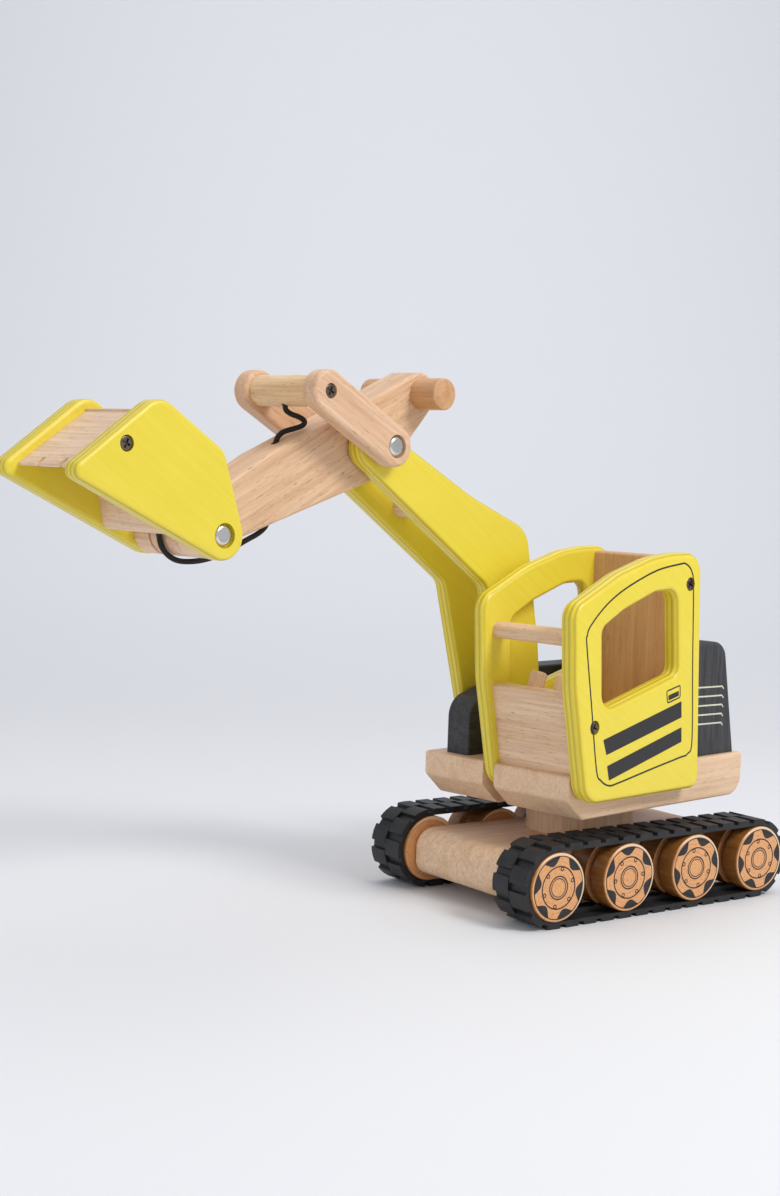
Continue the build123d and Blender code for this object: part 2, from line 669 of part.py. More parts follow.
def bucket_plate(side):
    hi, lo = (YB + BUCKET_OUT, YB + BUCKET_IN) if side > 0 else (YB - BUCKET_IN, YB - BUCKET_OUT)
    outer = hi if side > 0 else lo
    with BuildPart() as made:
        with BuildSketch(face_plane(hi)):
            hulled(*BUCKET)
        extrude(amount=hi - lo)
        fillet(rim(made.part, hi) + rim(made.part, lo), 2.6)
        bore(*BUCKET_PIVOT, PIN_D, hi + 1, lo - 1)
        bore(*BUCKET_PIVOT, CAP_RECESS, outer, outer - side * 3.4)
        bore(*SCREW_BUCKET, 8.2, outer, outer - side * 2.6)
        bore(*SCREW_BUCKET, 3.4, hi + 1, lo - 1)
    return made.part


save(bucket_plate(1), "bucket_plate_left", place_house)
save(bucket_plate(-1), "bucket_plate_right", place_house)

with BuildPart() as bucket_blade:
    top_end = blade_point(48.0, 0)
    low_end = blade_point(44.6, BLADE_T)
    top_end = (BACK_FRONT(top_end[1]), top_end[1])
    low_end = (BACK_FRONT(low_end[1]), low_end[1])
    with BuildSketch(face_plane(YB + BUCKET_IN)):
        rounded((*blade_point(0, 0), 0.9), (*top_end, 0.0), (*low_end, 0.0), (*blade_point(12.0, BLADE_T), 4.0), (*blade_point(0.6, 1.8), 0.5))
    extrude(amount=2 * BUCKET_IN)
    # two narrow notches leave three teeth
    for y in (YB - 8.2, YB + 11.2):
        with BuildSketch(Plane(origin=(LIP[0], y, LIP[1]), x_dir=(E[0], 0, E[1]), z_dir=(-N[0], 0, -N[1]))) as notch:
            with Locations((4.6, 0)):
                Circle(1.9)
            with Locations((-0.4, 0)):
                Rectangle(10.0, 3.8)
        extrude(notch.sketch, amount=15, both=True, mode=Mode.SUBTRACT)
    bore(*SCREW_BUCKET, 3.4, YB + BUCKET_IN, YB + BUCKET_IN - 13)
    bore(*SCREW_BUCKET, 3.4, YB - BUCKET_IN + 13, YB - BUCKET_IN)
save(bucket_blade.part, "bucket_blade", place_house)

with BuildPart() as bucket_back_board:
    with BuildSketch(face_plane(YB + BUCKET_IN)):
        rounded((BACK_FRONT(281.6), 281.6, 0.8), (BACK_FRONT(281.6) - 11.0, 281.6, 2.0), (308.0, 220.0, 5.0), (BACK_FRONT(220.0), 220.0, 5.0))
    extrude(amount=2 * BUCKET_IN)
    v = unit3(CORD_LOWER[-2], CORD_LOWER[-1])
    start = Vector(CORD_LOWER[-2][0], YB, CORD_LOWER[-2][2])
    stop = Vector(CORD_LOWER[-1][0], YB, CORD_LOWER[-1][2])
    drill(start, v, CORD_D + 0.4, (stop - start).length + 0.3)
save(bucket_back_board.part, "bucket_back_board", place_house)

save(ring(*BUCKET_PIVOT, YB + STICK_W + 0.3, YB + BUCKET_IN, 12.4, PIN_D / 2), "bucket_spacer_left", place_house)
save(ring(*BUCKET_PIVOT, YB - STICK_W - 0.3, YB - BUCKET_IN, 12.4, PIN_D / 2), "bucket_spacer_right", place_house)
save(pin(*BUCKET_PIVOT, BUCKET_OUT - 2.2), "bucket_axle", place_house)
save(group(cap_solid(*BUCKET_PIVOT, YB + BUCKET_OUT - 3.4, 1), cap_solid(*BUCKET_PIVOT, YB - BUCKET_OUT + 3.4, -1)), "bucket_axle_caps", place_house)
save(group(screw_solid(*SCREW_BUCKET, YB + BUCKET_OUT, -1, 20.5), screw_solid(*SCREW_BUCKET, YB - BUCKET_OUT, 1, 20.5)), "bucket_screws", place_house)
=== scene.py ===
import math
import bpy
from mathutils import Vector, Matrix


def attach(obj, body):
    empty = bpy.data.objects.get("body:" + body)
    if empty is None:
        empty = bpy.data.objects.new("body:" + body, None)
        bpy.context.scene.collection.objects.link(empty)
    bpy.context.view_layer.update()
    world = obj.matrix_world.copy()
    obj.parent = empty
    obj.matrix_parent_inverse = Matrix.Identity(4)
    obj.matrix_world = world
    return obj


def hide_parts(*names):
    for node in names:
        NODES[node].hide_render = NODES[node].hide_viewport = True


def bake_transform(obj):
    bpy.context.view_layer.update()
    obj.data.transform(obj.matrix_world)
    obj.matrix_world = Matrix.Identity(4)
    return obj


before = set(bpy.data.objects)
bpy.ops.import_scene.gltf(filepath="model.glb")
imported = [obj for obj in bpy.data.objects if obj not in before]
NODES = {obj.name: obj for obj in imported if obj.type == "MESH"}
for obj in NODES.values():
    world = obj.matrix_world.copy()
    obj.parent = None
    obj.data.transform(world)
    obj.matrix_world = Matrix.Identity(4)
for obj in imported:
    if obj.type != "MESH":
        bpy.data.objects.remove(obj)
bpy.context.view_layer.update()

SWING = math.radians(8.0)
TX, TY = -0.1391156, -0.0034407
C8, S8 = math.cos(SWING), math.sin(SWING)
YB = -0.0365
AXLE_X = [0.0813 - 0.0545 * i for i in range(4)]
AXLE_Z = 0.0241


def house(x, y, z):
    """House point in millimetres to the row frame in metres."""
    x, y, z = x / 1000, y / 1000, z / 1000
    return (x * C8 - y * S8 + TX, x * S8 + y * C8 + TY, z)


def track(x, y, z):
    return (x / 1000 + TX, y / 1000 + TY, z / 1000)


# ---------------------------------------------------------------- node helpers
class Net:
    def __init__(self, name):
        self.mat = bpy.data.materials.new(name)
        self.mat.use_nodes = True
        self.nt = self.mat.node_tree
        self.nt.nodes.clear()
        self.out = self.nt.nodes.new("ShaderNodeOutputMaterial")
        self.bsdf = self.nt.nodes.new("ShaderNodeBsdfPrincipled")
        self.nt.links.new(self.bsdf.outputs[0], self.out.inputs["Surface"])
        self.tex = self.nt.nodes.new("ShaderNodeTexCoord")

    def link(self, a, b):
        self.nt.links.new(a, b)

    def put(self, socket, v):
        if hasattr(v, "is_output"):
            self.link(v, socket)
        elif v is not None:
            socket.default_value = v

    def math(self, op, a, b=None, c=None, clamp=False):
        n = self.nt.nodes.new("ShaderNodeMath")
        n.operation = op
        n.use_clamp = clamp
        self.put(n.inputs[0], a)
        self.put(n.inputs[1], b)
        self.put(n.inputs[2], c)
        return n.outputs[0]

    def mapping(self, v, loc=(0, 0, 0), rot=(0, 0, 0), scale=(1, 1, 1)):
        n = self.nt.nodes.new("ShaderNodeMapping")
        self.link(v, n.inputs["Vector"])
        n.inputs["Location"].default_value = loc
        n.inputs["Rotation"].default_value = rot
        n.inputs["Scale"].default_value = scale
        return n.outputs[0]

    def noise(self, v, scale=1.0, detail=3.0, rough=0.5, distort=0.0):
        n = self.nt.nodes.new("ShaderNodeTexNoise")
        self.link(v, n.inputs["Vector"])
        n.inputs["Scale"].default_value = scale
        n.inputs["Detail"].default_value = detail
        n.inputs["Roughness"].default_value = rough
        n.inputs["Distortion"].default_value = distort
        return n.outputs["Fac"]

    def ramp(self, f, *stops):
        n = self.nt.nodes.new("ShaderNodeValToRGB")
        self.link(f, n.inputs[0])
        e = n.color_ramp.elements
        while len(e) < len(stops):
            e.new(0.5)
        for el, (p, col) in zip(e, stops):
            el.position = p
            el.color = (*col, 1) if isinstance(col, tuple) else (col, col, col, 1)
        return n.outputs[0]

    def mix(self, f, a, b, mode="MIX"):
        n = self.nt.nodes.new("ShaderNodeMix")
        n.data_type = "RGBA"
        n.blend_type = mode
        self.put(n.inputs[0], f)
        for s, v in ((n.inputs[6], a), (n.inputs[7], b)):
            self.put(s, (*v, 1) if isinstance(v, tuple) else v)
        return n.outputs[2]

    def xyz(self, v):
        n = self.nt.nodes.new("ShaderNodeSeparateXYZ")
        self.link(v, n.inputs[0])
        return n.outputs

    def base(self, in_house):
        """House or track coordinates, in metres, from object coordinates."""
        if in_house:
            return self.mapping(self.tex.outputs["Object"], loc=(-(C8 * TX + S8 * TY), -(-S8 * TX + C8 * TY), 0), rot=(0, 0, -SWING))
        return self.mapping(self.tex.outputs["Object"], loc=(-TX, -TY, 0))

    def normal(self, in_house):
        return self.mapping(self.tex.outputs["Normal"], rot=(0, 0, -SWING if in_house else 0))

    def bump(self, h, strength, dist):
        n = self.nt.nodes.new("ShaderNodeBump")
        self.link(h, n.inputs["Height"])
        n.inputs["Strength"].default_value = strength
        n.inputs["Distance"].default_value = dist
        self.link(n.outputs[0], self.bsdf.inputs["Normal"])
        return n

    def finish(self, color=None, rough=None, metal=None, spec=None, coat=None, coat_rough=None):
        b = self.bsdf.inputs
        if color is not None:
            self.put(b["Base Color"], (*color, 1) if isinstance(color, tuple) else color)
        self.put(b["Roughness"], rough)
        self.put(b["Metallic"], metal)
        self.put(b["Specular IOR Level"], spec)
        self.put(b["Coat Weight"], coat)
        self.put(b["Coat Roughness"], coat_rough)
        return self.mat


def grain_vec(n, in_house, grain, offset):
    """Coordinates whose X runs along the grain."""
    v = n.base(in_house)
    if grain == "y":
        return n.mapping(v, loc=offset, rot=(0, 0, -math.pi / 2))
    return n.mapping(v, loc=offset, rot=(0, math.radians(grain), 0))


BEECH_LIGHT = (0.82, 0.585, 0.390)
BEECH_MID = (0.73, 0.480, 0.290)
BEECH_DARK = (0.42, 0.215, 0.095)


def wood(name, in_house=True, grain=0.0, offset=(0, 0, 0), light=BEECH_LIGHT, mid=BEECH_MID, dark=BEECH_DARK, rough=0.46, bump=0.25):
    n = Net(name)
    v = grain_vec(n, in_house, grain, offset)
    bands = n.noise(n.mapping(v, scale=(5, 75, 75)), detail=2.5, distort=0.6)
    streak = n.noise(n.mapping(v, scale=(22, 620, 620)), detail=4.0, rough=0.6)
    pores = n.noise(n.mapping(v, scale=(150, 2300, 2300)), detail=1.5)
    rays = n.noise(n.mapping(v, scale=(60, 1000, 1000), loc=(3, 5, 7)), detail=2.0)
    col = n.ramp(bands, (0.30, mid), (0.52, light), (0.72, mid))
    col = n.mix(n.ramp(streak, (0.34, 0.38), (0.58, 0.0)), col, dark)
    col = n.mix(n.ramp(pores, (0.27, 0.75), (0.36, 0.0)), col, tuple(c * 0.62 for c in dark))
    col = n.mix(n.ramp(rays, (0.66, 0.0), (0.78, 0.45)), col, tuple(min(1.0, c * 1.15) for c in light))
    r = n.math("MULTIPLY_ADD", streak, 0.16, rough - 0.06)
    h = n.math("ADD", n.math("MULTIPLY", streak, 0.5), n.math("MULTIPLY", n.ramp(pores, (0.25, 0.0), (0.38, 1.0)), 0.8))
    n.bump(h, bump, 0.0003)
    return n.finish(col, rough=r, spec=0.42, coat=0.12, coat_rough=0.3)


def ply(name, pitch, offset=(0, 0, 0)):
    """Lemon-yellow lacquered plywood: flat faces, ribbed layers round the edges."""
    n = Net(name)
    v = grain_vec(n, True, 35.0, offset)
    face = n.noise(n.mapping(v, scale=(26, 420, 420)), detail=3.0)
    blotch = n.noise(n.mapping(v, scale=(30, 30, 30), loc=(4, 2, 9)), detail=2.0)
    pores = n.noise(n.mapping(v, scale=(130, 2100, 2100)), detail=1.5)
    col = n.ramp(face, (0.30, (0.790, 0.635, 0.040)), (0.66, (0.815, 0.672, 0.056)))
    col = n.mix(n.ramp(blotch, (0.35, 0.14), (0.65, 0.0)), col, (0.72, 0.55, 0.018))
    col = n.mix(n.ramp(pores, (0.24, 0.16), (0.32, 0.0)), col, (0.60, 0.44, 0.012))
    ny = n.math("ABSOLUTE", n.xyz(n.normal(True))[1])
    edge = n.ramp(ny, (0.72, 1.0), (0.97, 0.0))
    y = n.xyz(n.base(True))[1]
    wob = n.noise(n.mapping(n.base(True), scale=(40, 40, 40)), detail=1.0)
    phase = n.math("MULTIPLY_ADD", wob, 1.2, n.math("MULTIPLY", n.math("SUBTRACT", y, YB), 2 * math.pi / pitch))
    wave = n.math("MULTIPLY_ADD", n.math("SINE", phase), 0.5, 0.5)
    col = n.mix(n.math("MULTIPLY", edge, n.ramp(wave, (0.10, 0.62), (0.55, 0.0))), col, (0.50, 0.34, 0.005))
    h = n.math("ADD", n.math("MULTIPLY", n.math("MULTIPLY", wave, edge), 2.2), n.math("ADD", n.math("MULTIPLY", face, 0.22), n.math("MULTIPLY", n.ramp(pores, (0.25, 0.0), (0.36, 1.0)), 0.15)))
    n.bump(h, 0.35, 0.0004)
    r = n.math("MULTIPLY_ADD", blotch, 0.10, 0.34)
    return n.finish(col, rough=r, spec=0.45, coat=0.25, coat_rough=0.22)


def dark_wood(name, grain):
    n = Net(name)
    v = grain_vec(n, True, grain, (0.3, 0.1, 0.2))
    streak = n.noise(n.mapping(v, scale=(28, 520, 520)), detail=4.0, rough=0.62)
    pores = n.noise(n.mapping(v, scale=(120, 1500, 1500)), detail=2.0)
    col = n.ramp(streak, (0.32, (0.022, 0.022, 0.025)), (0.68, (0.060, 0.061, 0.067)))
    col = n.mix(n.ramp(pores, (0.30, 0.9), (0.40, 0.0)), col, (0.010, 0.010, 0.011))
    h = n.math("ADD", n.math("MULTIPLY", streak, 0.6), n.ramp(pores, (0.28, 0.0), (0.42, 1.0)))
    n.bump(h, 0.45, 0.0004)
    return n.finish(col, rough=n.math("MULTIPLY_ADD", streak, 0.2, 0.42), spec=0.4)


def wheel_wood(name, i, side):
    """Brown lacquered rim; both flat faces painted lighter than the rim, painted light copied from the lit front face.
    """
    n = Net(name)
    v = n.mapping(n.base(False), loc=(-AXLE_X[i], 0.1 * i + 0.3 * side, -AXLE_Z), rot=(0, 0, 0))
    p = n.mapping(n.base(False), loc=(-AXLE_X[i] - 0.0015, 0, -AXLE_Z + 0.001), scale=(1, 0, 1))
    ring = n.nt.nodes.new("ShaderNodeVectorMath")
    ring.operation = "LENGTH"
    n.link(p, ring.inputs[0])
    rad = ring.outputs["Value"]
    wob = n.noise(n.mapping(v, scale=(90, 20, 90)), detail=3.0)
    rings = n.math("MULTIPLY_ADD", n.math("SINE", n.math("MULTIPLY_ADD", wob, 9.0, n.math("MULTIPLY", rad, 2600.0))), 0.5, 0.5)
    speck = n.noise(n.mapping(v, scale=(900, 60, 900)), detail=2.0)
    # painted light: the flat-face colours are lighter than the rim, the tone of the lit front face
    face = n.mix(n.ramp(rings, (0.1, 0.0), (0.9, 0.40)), (0.76, 0.375, 0.150), (0.60, 0.250, 0.085))
    face = n.mix(n.ramp(speck, (0.30, 0.55), (0.42, 0.0)), face, (0.36, 0.125, 0.04))
    along = n.noise(n.mapping(v, scale=(420, 26, 420)), detail=4.0, rough=0.6)
    rim = n.ramp(along, (0.30, (0.25, 0.090, 0.018)), (0.66, (0.40, 0.165, 0.038)))
    ny = n.math("ABSOLUTE", n.xyz(n.normal(False))[1])
    # painted light: flat faces take the lighter face colour, the rim keeps the darker wood
    col = n.mix(n.ramp(ny, (0.80, 0.0), (0.96, 1.0)), rim, face)
    # pale turned edge just outside the printed line
    edge = n.math("MULTIPLY", n.ramp(n.math("MULTIPLY", rad, 40.0), (0.755, 0.0), (0.775, 1.0)), n.ramp(ny, (0.35, 0.0), (0.6, 1.0)))
    col = n.mix(n.math("MULTIPLY", edge, 0.75), col, (0.86, 0.66, 0.44))
    n.bump(n.math("ADD", n.math("MULTIPLY", along, 0.5), n.math("MULTIPLY", speck, 0.5)), 0.2, 0.0003)
    return n.finish(col, rough=n.math("MULTIPLY_ADD", along, 0.15, 0.30), spec=0.45, coat=0.35, coat_rough=0.2)


def rubber(name):
    n = Net(name)
    v = n.base(False)
    fine = n.noise(v, scale=1900, detail=3.0)
    dust = n.noise(v, scale=70, detail=4.0, rough=0.65)
    col = n.ramp(dust, (0.35, (0.010, 0.010, 0.011)), (0.75, (0.026, 0.027, 0.029)))
    n.bump(n.math("ADD", fine, n.math("MULTIPLY", dust, 0.5)), 0.25, 0.0002)
    return n.finish(col, rough=n.math("MULTIPLY_ADD", dust, 0.22, 0.42), spec=0.42)


def steel(name, tone=(0.72, 0.70, 0.67), rough=0.22):
    n = Net(name)
    v = n.tex.outputs["Object"]
    s = n.noise(v, scale=900, detail=4.0)
    w = n.noise(v, scale=160, detail=2.0)
    col = n.mix(n.ramp(w, (0.4, 0.0), (0.8, 0.35)), tone, tuple(c * 0.7 for c in tone))
    n.bump(s, 0.06, 0.0001)
    return n.finish(col, rough=n.math("MULTIPLY_ADD", s, 0.18, rough - 0.05), metal=1.0)


def plain(name, tone, rough=0.5, grit=700, amount=0.25):
    n = Net(name)
    s = n.noise(n.tex.outputs["Object"], scale=grit, detail=3.0)
    col = n.mix(n.ramp(s, (0.40, 0.0), (0.72, amount)), tone, tuple(min(1.0, c * 1.9 + 0.01) for c in tone))
    n.bump(s, 0.1, 0.0001)
    return n.finish(col, rough=n.math("MULTIPLY_ADD", s, 0.12, rough - 0.06), spec=0.4)


def cord_mat(name):
    n = Net(name)
    v = n.tex.outputs["Object"]
    strand = n.noise(n.mapping(v, scale=(1500, 1500, 1500)), detail=2.0)
    d = n.math("SINE", n.math("MULTIPLY", n.math("ADD", n.math("MULTIPLY", n.xyz(v)[0], 1.0), n.xyz(v)[2]), 3300.0))
    e = n.math("SINE", n.math("MULTIPLY", n.math("SUBTRACT", n.xyz(v)[0], n.xyz(v)[2]), 3300.0))
    weave = n.math("MULTIPLY_ADD", n.math("MULTIPLY", d, e), 0.5, 0.5)
    col = n.mix(weave, (0.012, 0.010, 0.009), (0.045, 0.040, 0.036))
    n.bump(n.math("ADD", weave, n.math("MULTIPLY", strand, 0.5)), 0.7, 0.0004)
    return n.finish(col, rough=0.85, spec=0.25)


# ---------------------------------------------------------------- materials on the CAD nodes
def assign(node, mat):
    o = NODES[node]
    o.data.materials.clear()
    o.data.materials.append(mat)


assign("base_block", wood("base_beech", True, 0, (0.10, 0.2, 0.0), dark=(0.55, 0.31, 0.155)))
assign("cab_front_wall", wood("front_wall_beech", True, "y", (0.33, 0.1, 0.2)))
assign("cab_back_wall", wood("back_wall_beech", True, 90, (0.2, 0.5, 0.1), light=(0.68, 0.40, 0.19), mid=(0.58, 0.315, 0.13)))
assign("stick", wood("stick_beech", True, -28, (0.4, 0.3, 0.6), light=(0.78, 0.53, 0.34), mid=(0.68, 0.43, 0.26)))
assign("chassis_board", wood("chassis_beech", False, 0, (0.8, 0.2, 0.4)))
assign("turntable_column", wood("column_beech", False, 90, (0.5, 0.9, 0.1), bump=0.4))
assign("cab_crossbar", wood("crossbar_beech", True, "y", (0.7, 0.6, 0.2)))
assign("boom_spacer", wood("spacer_dowel_beech", True, "y", (0.2, 0.8, 0.2)))
assign("handle_dowel", wood("handle_beech", True, "y", (0.9, 0.4, 0.2), light=(0.66, 0.375, 0.19), mid=(0.54, 0.28, 0.125)))
assign("lever_dowel", wood("lever_dowel_beech", True, "y", (0.3, 0.35, 0.5), light=(0.84, 0.60, 0.345), mid=(0.78, 0.52, 0.27)))
assign("lever_arm_left", wood("arm_left_beech", True, 29, (0.15, 0.25, 0.35), light=(0.79, 0.54, 0.36), mid=(0.70, 0.44, 0.27)))
assign("lever_arm_right", wood("arm_right_beech", True, 29, (0.75, 0.15, 0.55), light=(0.76, 0.50, 0.32), mid=(0.66, 0.40, 0.23)))
assign("bucket_blade", wood("blade_beech", True, "y", (0.5, 0.55, 0.1), light=(0.82, 0.61, 0.44), mid=(0.76, 0.53, 0.36)))
assign("bucket_back_board", wood("board_beech", True, "y", (0.1, 0.65, 0.9)))
for n_ in ("bucket_spacer_left", "bucket_spacer_right"):
    assign(n_, wood(n_ + "_beech", True, "y", (0.6, 0.1, 0.3)))
for n_ in ("control_lever_left", "control_lever_right"):
    assign(n_, wood(n_ + "_beech", True, 107, (0.3, 0.9, 0.7)))
for i in range(4):
    assign(f"axle_{i+1}", wood(f"axle_beech_{i+1}", False, "y", (0.1 * i, 0.3, 0.5)))
    for side, word in ((1, "left"), (-1, "right")):
        assign(f"wheel_{word}_{i+1}", wheel_wood(f"wheel_wood_{word}_{i+1}", i, side))
for n_, off in (("cab_panel_left", (0.1, 0.0, 0.2)), ("cab_panel_right", (0.6, 0.3, 0.1))):
    assign(n_, ply(n_ + "_ply", 0.0034, off))
for n_, off in (("boom_plate_left", (0.2, 0.5, 0.4)), ("boom_plate_right", (0.9, 0.1, 0.3)), ("bucket_plate_left", (0.4, 0.8, 0.6)), ("bucket_plate_right", (0.7, 0.2, 0.9))):
    assign(n_, ply(n_ + "_ply", 0.0032, off))
assign("engine_block", dark_wood("engine_stain", 90))
assign("boom_block", dark_wood("block_stain", 0))
RUB = rubber("track_rubber")
assign("belt_left", RUB)
assign("belt_right", RUB)
STEEL = steel("plated_steel")
DARK_STEEL = steel("bronzed_steel", (0.20, 0.155, 0.12), 0.30)
for n_ in ("main_axle_caps", "bucket_axle_caps", "boom_axle_caps", "main_axle", "boom_axle", "bucket_axle", "swivel_bolt"):
    assign(n_, STEEL)
for n_ in ("cab_screws", "lever_screws", "bucket_screws"):
    assign(n_, DARK_STEEL)
NYLON = plain("dark_nylon", (0.03, 0.03, 0.033))
assign("swivel_washer", NYLON)
assign("boom_washers", NYLON)

INK = plain("ink", (0.022, 0.021, 0.023), rough=0.55, grit=1500, amount=0.35)
INK_PALE = plain("pale_ink", (0.62, 0.62, 0.46), rough=0.5, grit=1200, amount=0.3)


# ---------------------------------------------------------------- printed graphics
def mesh_object(name, verts, faces, mat, body):
    me = bpy.data.meshes.new(name)
    me.from_pydata(verts, [], faces)
    me.update()
    me.materials.append(mat)
    o = bpy.data.objects.new(name, me)
    bpy.context.scene.collection.objects.link(o)
    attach(o, body)
    return o


def smooth_loop(points, steps=6, closed=True):
    """Catmull-Rom through the points."""
    n, out = len(points), []
    for i in range(n if closed else n - 1):
        p = [points[(i + k) % n] if closed else points[min(max(i + k, 0), n - 1)] for k in (-1, 0, 1, 2)]
        for s in range(steps):
            t = s / steps
            out.append(tuple(0.5 * (2 * p[1][a] + (p[2][a] - p[0][a]) * t + (2 * p[0][a] - 5 * p[1][a] + 4 * p[2][a] - p[3][a]) * t * t
                                    + (3 * p[1][a] - p[0][a] - 3 * p[2][a] + p[3][a]) * t ** 3) for a in (0, 1)))
    if not closed:
        out.append(points[-1])
    return out


def ribbon(points, width, closed):
    """Vertices (x, z) and faces of a flat band along the points."""
    n, vs, fs = len(points), [], []
    for i, p in enumerate(points):
        a = points[i - 1] if closed or i else p
        b = points[(i + 1) % n] if closed or i < n - 1 else p
        dx, dz = b[0] - a[0], b[1] - a[1]
        d = math.hypot(dx, dz) or 1
        nx, nz = -dz / d * width / 2, dx / d * width / 2
        vs += [(p[0] + nx, p[1] + nz), (p[0] - nx, p[1] - nz)]
    for i in range(n if closed else n - 1):
        j = (i + 1) % n
        fs.append((2 * i, 2 * j, 2 * j + 1, 2 * i + 1))
    return vs, fs


def slab(vs, fs, y, lift, place, flip=1):
    """A thin printed film: the flat shape at Y = y, lifted by lift off the surface."""
    n = len(vs)
    top = [place(x, y + flip * lift, z) for x, z in vs]
    return top, list(fs)


def film(name, shapes, y, mat, body, place, lift=0.07):
    verts, faces = [], []
    for vs, fs in shapes:
        top, f = slab(vs, fs, y, lift if y > 0 else -lift, place)
        faces += [tuple(k + len(verts) for k in q) for q in f]
        verts += top
    return mesh_object(name, verts, faces, mat, body)


def round_poly(verts, steps=5):
    out = []
    n = len(verts)
    for i in range(n):
        x, z, r = verts[i]
        p, q = verts[i - 1], verts[(i + 1) % n]
        a = Vector((p[0] - x, p[1] - z)).normalized()
        b = Vector((q[0] - x, q[1] - z)).normalized()
        s, e = Vector((x, z)) + a * r, Vector((x, z)) + b * r
        if r <= 0:
            out.append((x, z))
            continue
        for k in range(steps + 1):
            t = k / steps
            w = (1 - t) ** 2 * s + 2 * t * (1 - t) * Vector((x, z)) + t * t * e
            out.append((w.x, w.y))
    return out


door = [(-4.3, 205.4), (-10.5, 200.6), (-12.8, 189.9), (-15.4, 145.0), (-18.3, 100.0), (-14.6, 91.9), (-6.3, 90.2), (20.0, 85.9),
        (49.7, 80.8), (58.7, 80.0), (66.1, 83.6), (70.5, 90.5), (77.0, 126.0), (83.6, 161.8), (83.5, 166.8), (81.3, 171.7),
        (70.5, 181.4), (57.2, 189.5), (40.0, 196.6), (21.4, 202.4), (2.5, 205.2)]
P = 69.0
film("door_line", [ribbon(smooth_loop(door), 1.05, True)], P, INK, "house", house)
bars = [[(65.5, 106.7, 0.4), (-6.1, 124.0, 0.4), (-6.9, 114.3, 0.4), (62.1, 97.8, 0.4)],
        [(61.1, 91.4, 0.4), (-7.3, 108.4, 0.4), (-7.9, 99.6, 0.4), (58.9, 82.9, 0.4)]]
film("door_stripes", [(round_poly(b), [tuple(range(len(round_poly(b))))]) for b in bars], P, INK, "house", house)
icon = round_poly([(8.6, 130.8, 1.3), (-4.1, 133.6, 1.3), (-4.6, 126.4, 1.3), (7.4, 123.8, 1.3)])
icon_in = round_poly([(6.9, 128.3, 0.5), (-3.0, 130.4, 0.5), (-3.3, 127.4, 0.5), (6.5, 125.2, 0.5)])
film("door_handle_mark", [ribbon(icon, 0.85, True), (icon_in, [tuple(range(len(icon_in)))])], P, INK, "house", house)
lines = []
for k in range(5):
    z = 127.2 - 5.68 * k
    back = -69.0 - 0.5 * k * 0.2
    lines.append(ribbon([(-41.5, z + 0.65), (-50.0, z + 0.4), (back, z), (back - 1.6, z - 1.7)], 0.95, False))
film("vent_lines", lines, 53.0, INK_PALE, "house", house)


# ---------------------------------------------------------------- printed wheel faces
R = 19.85


def arc_band(cx, cz, r0, r1, a0=0.0, a1=2 * math.pi, steps=64):
    closed = abs(a1 - a0) > 2 * math.pi - 1e-6
    n = steps if closed else steps + 1
    vs = []
    for i in range(n):
        a = a0 + (a1 - a0) * i / steps
        vs += [(cx + r0 * math.cos(a), cz + r0 * math.sin(a)), (cx + r1 * math.cos(a), cz + r1 * math.sin(a))]
    fs = []
    for i in range(steps):
        j = (i + 1) % n
        fs.append((2 * i, 2 * i + 1, 2 * j + 1, 2 * j))
    return vs, fs


def lens(cx, cz, ang, half, r_out, r_in):
    """Half-moon under the rim: outer side follows the rim, inner side bows in."""
    vs, n = [], 16
    for i in range(n + 1):
        a = ang - half + 2 * half * i / n
        vs.append((cx + r_out * math.cos(a), cz + r_out * math.sin(a)))
    for i in range(n, -1, -1):
        t = 2 * i / n - 1
        a = ang + half * 0.92 * t
        r = r_out - (r_out - r_in) * (1 - abs(t) ** 2.2)
        vs.append((cx + r * math.cos(a), cz + r * math.sin(a)))
    return vs, [tuple(range(len(vs)))]


PHASE = [18.0, 6.0, 42.6, 37.0]
for i in range(4):
    cx, cz = AXLE_X[i] * 1000, AXLE_Z * 1000
    for side, word in ((1, "left"), (-1, "right")):
        ph = math.radians(180 - PHASE[i])
        shapes = [arc_band(cx, cz, R * 0.893, R * 0.922), arc_band(cx, cz, R * 0.590, R * 0.628),
                  arc_band(cx, cz, R * 0.312, R * 0.350), arc_band(cx, cz, R * 0.252, R * 0.278)]
        for k in range(6):
            a = ph + k * math.pi / 3
            shapes.append(lens(cx, cz, a + math.pi / 6, math.radians(20.5), R * 0.892, R * 0.665))
            dx, dz = cx + R * 0.545 * math.cos(a), cz + R * 0.545 * math.sin(a)
            shapes.append(arc_band(dx, dz, 0.72, 1.32, steps=20))
        film(f"wheel_print_{word}_{i+1}", shapes, side * 74.1, INK, f"wheelset_{i+1}", track, lift=0.06)

# ---------------------------------------------------------------- cord
CORD = cord_mat("braided_cord")


def cord_mesh(name, points, radius):
    cu = bpy.data.curves.new(name, "CURVE")
    cu.dimensions = "3D"
    sp = cu.splines.new("NURBS")
    sp.points.add(len(points) - 1)
    for p, q in zip(sp.points, points):
        x, y, z = house(q[0], q[1] + YB * 1000, q[2])
        p.co = (x, y, z, 1)
    sp.order_u = 3
    sp.use_endpoint_u = True
    sp.resolution_u = 14
    cu.bevel_depth = radius
    cu.bevel_resolution = 5
    cu.use_fill_caps = True
    tmp = bpy.data.objects.new(name + "_c", cu)
    bpy.context.scene.collection.objects.link(tmp)
    bpy.context.view_layer.update()
    me = bpy.data.meshes.new_from_object(tmp.evaluated_get(bpy.context.evaluated_depsgraph_get()))
    bpy.data.objects.remove(tmp)
    me.materials.clear()
    me.materials.append(CORD)
    for f in me.polygons:
        f.use_smooth = True
    o = bpy.data.objects.new(name, me)
    bpy.context.scene.collection.objects.link(o)
    return o


def hole_x(z):
    return 225.4 + (267.4 - z) * 3.2 / 42.2


